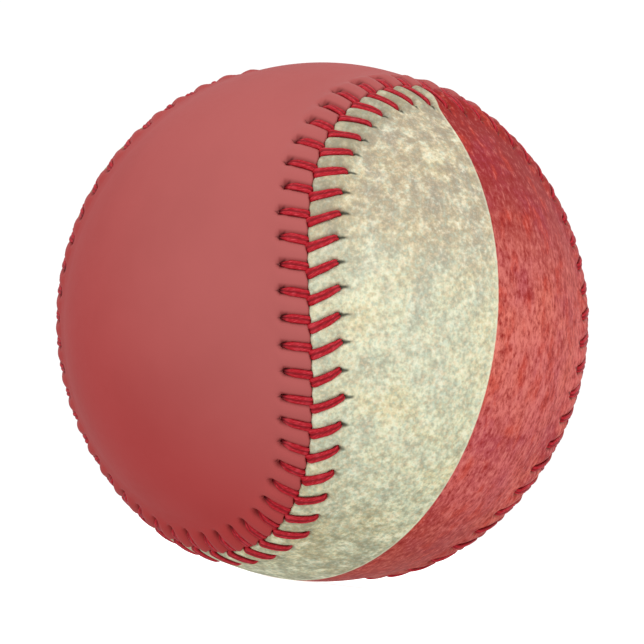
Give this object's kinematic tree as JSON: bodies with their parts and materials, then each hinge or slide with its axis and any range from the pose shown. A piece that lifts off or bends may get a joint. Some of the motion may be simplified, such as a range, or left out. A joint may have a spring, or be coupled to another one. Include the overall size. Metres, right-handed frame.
{
  "type": "baseball",
  "caption": "Hand-stitched leather baseball: a cushioned cork centre and wool windings in a two-panel cover, sewn shut with a raised double-stitched red seam.",
  "frame": {"origin": "centre of the ball", "axes": "+Z through the middle of the plain panel's neck, which runs along X; the printed panel's neck is at -Z and runs along Y"},
  "size_m": [0.0742, 0.0742, 0.0742],
  "materials": {
    "cork": "moulded cork, matte",
    "black_rubber": "matte",
    "red_rubber": "matte",
    "grey_wool": "wound wool yarn",
    "white_wool": "wound wool yarn",
    "cotton_yarn": "fine wound yarn under cement",
    "plain_leather": "dyed smooth leather, satin",
    "printed_leather": "smooth leather printed in mottled cream and red, satin",
    "waxed_thread": "waxed two-ply thread, slight gloss"
  },
  "bodies": {
    "root": {"cork_core": "cork", "upper_inner_rubber_shell": "black_rubber", "lower_inner_rubber_shell": "black_rubber", "rubber_washer": "red_rubber", "outer_rubber_shell": "red_rubber", "first_wool_winding": "grey_wool", "second_wool_winding": "white_wool", "third_wool_winding": "grey_wool", "finishing_winding": "cotton_yarn", "plain_cover_panel": "plain_leather", "printed_cover_panel": "printed_leather", "stitching_thread": "waxed_thread"}
  },
  "joints": []
}
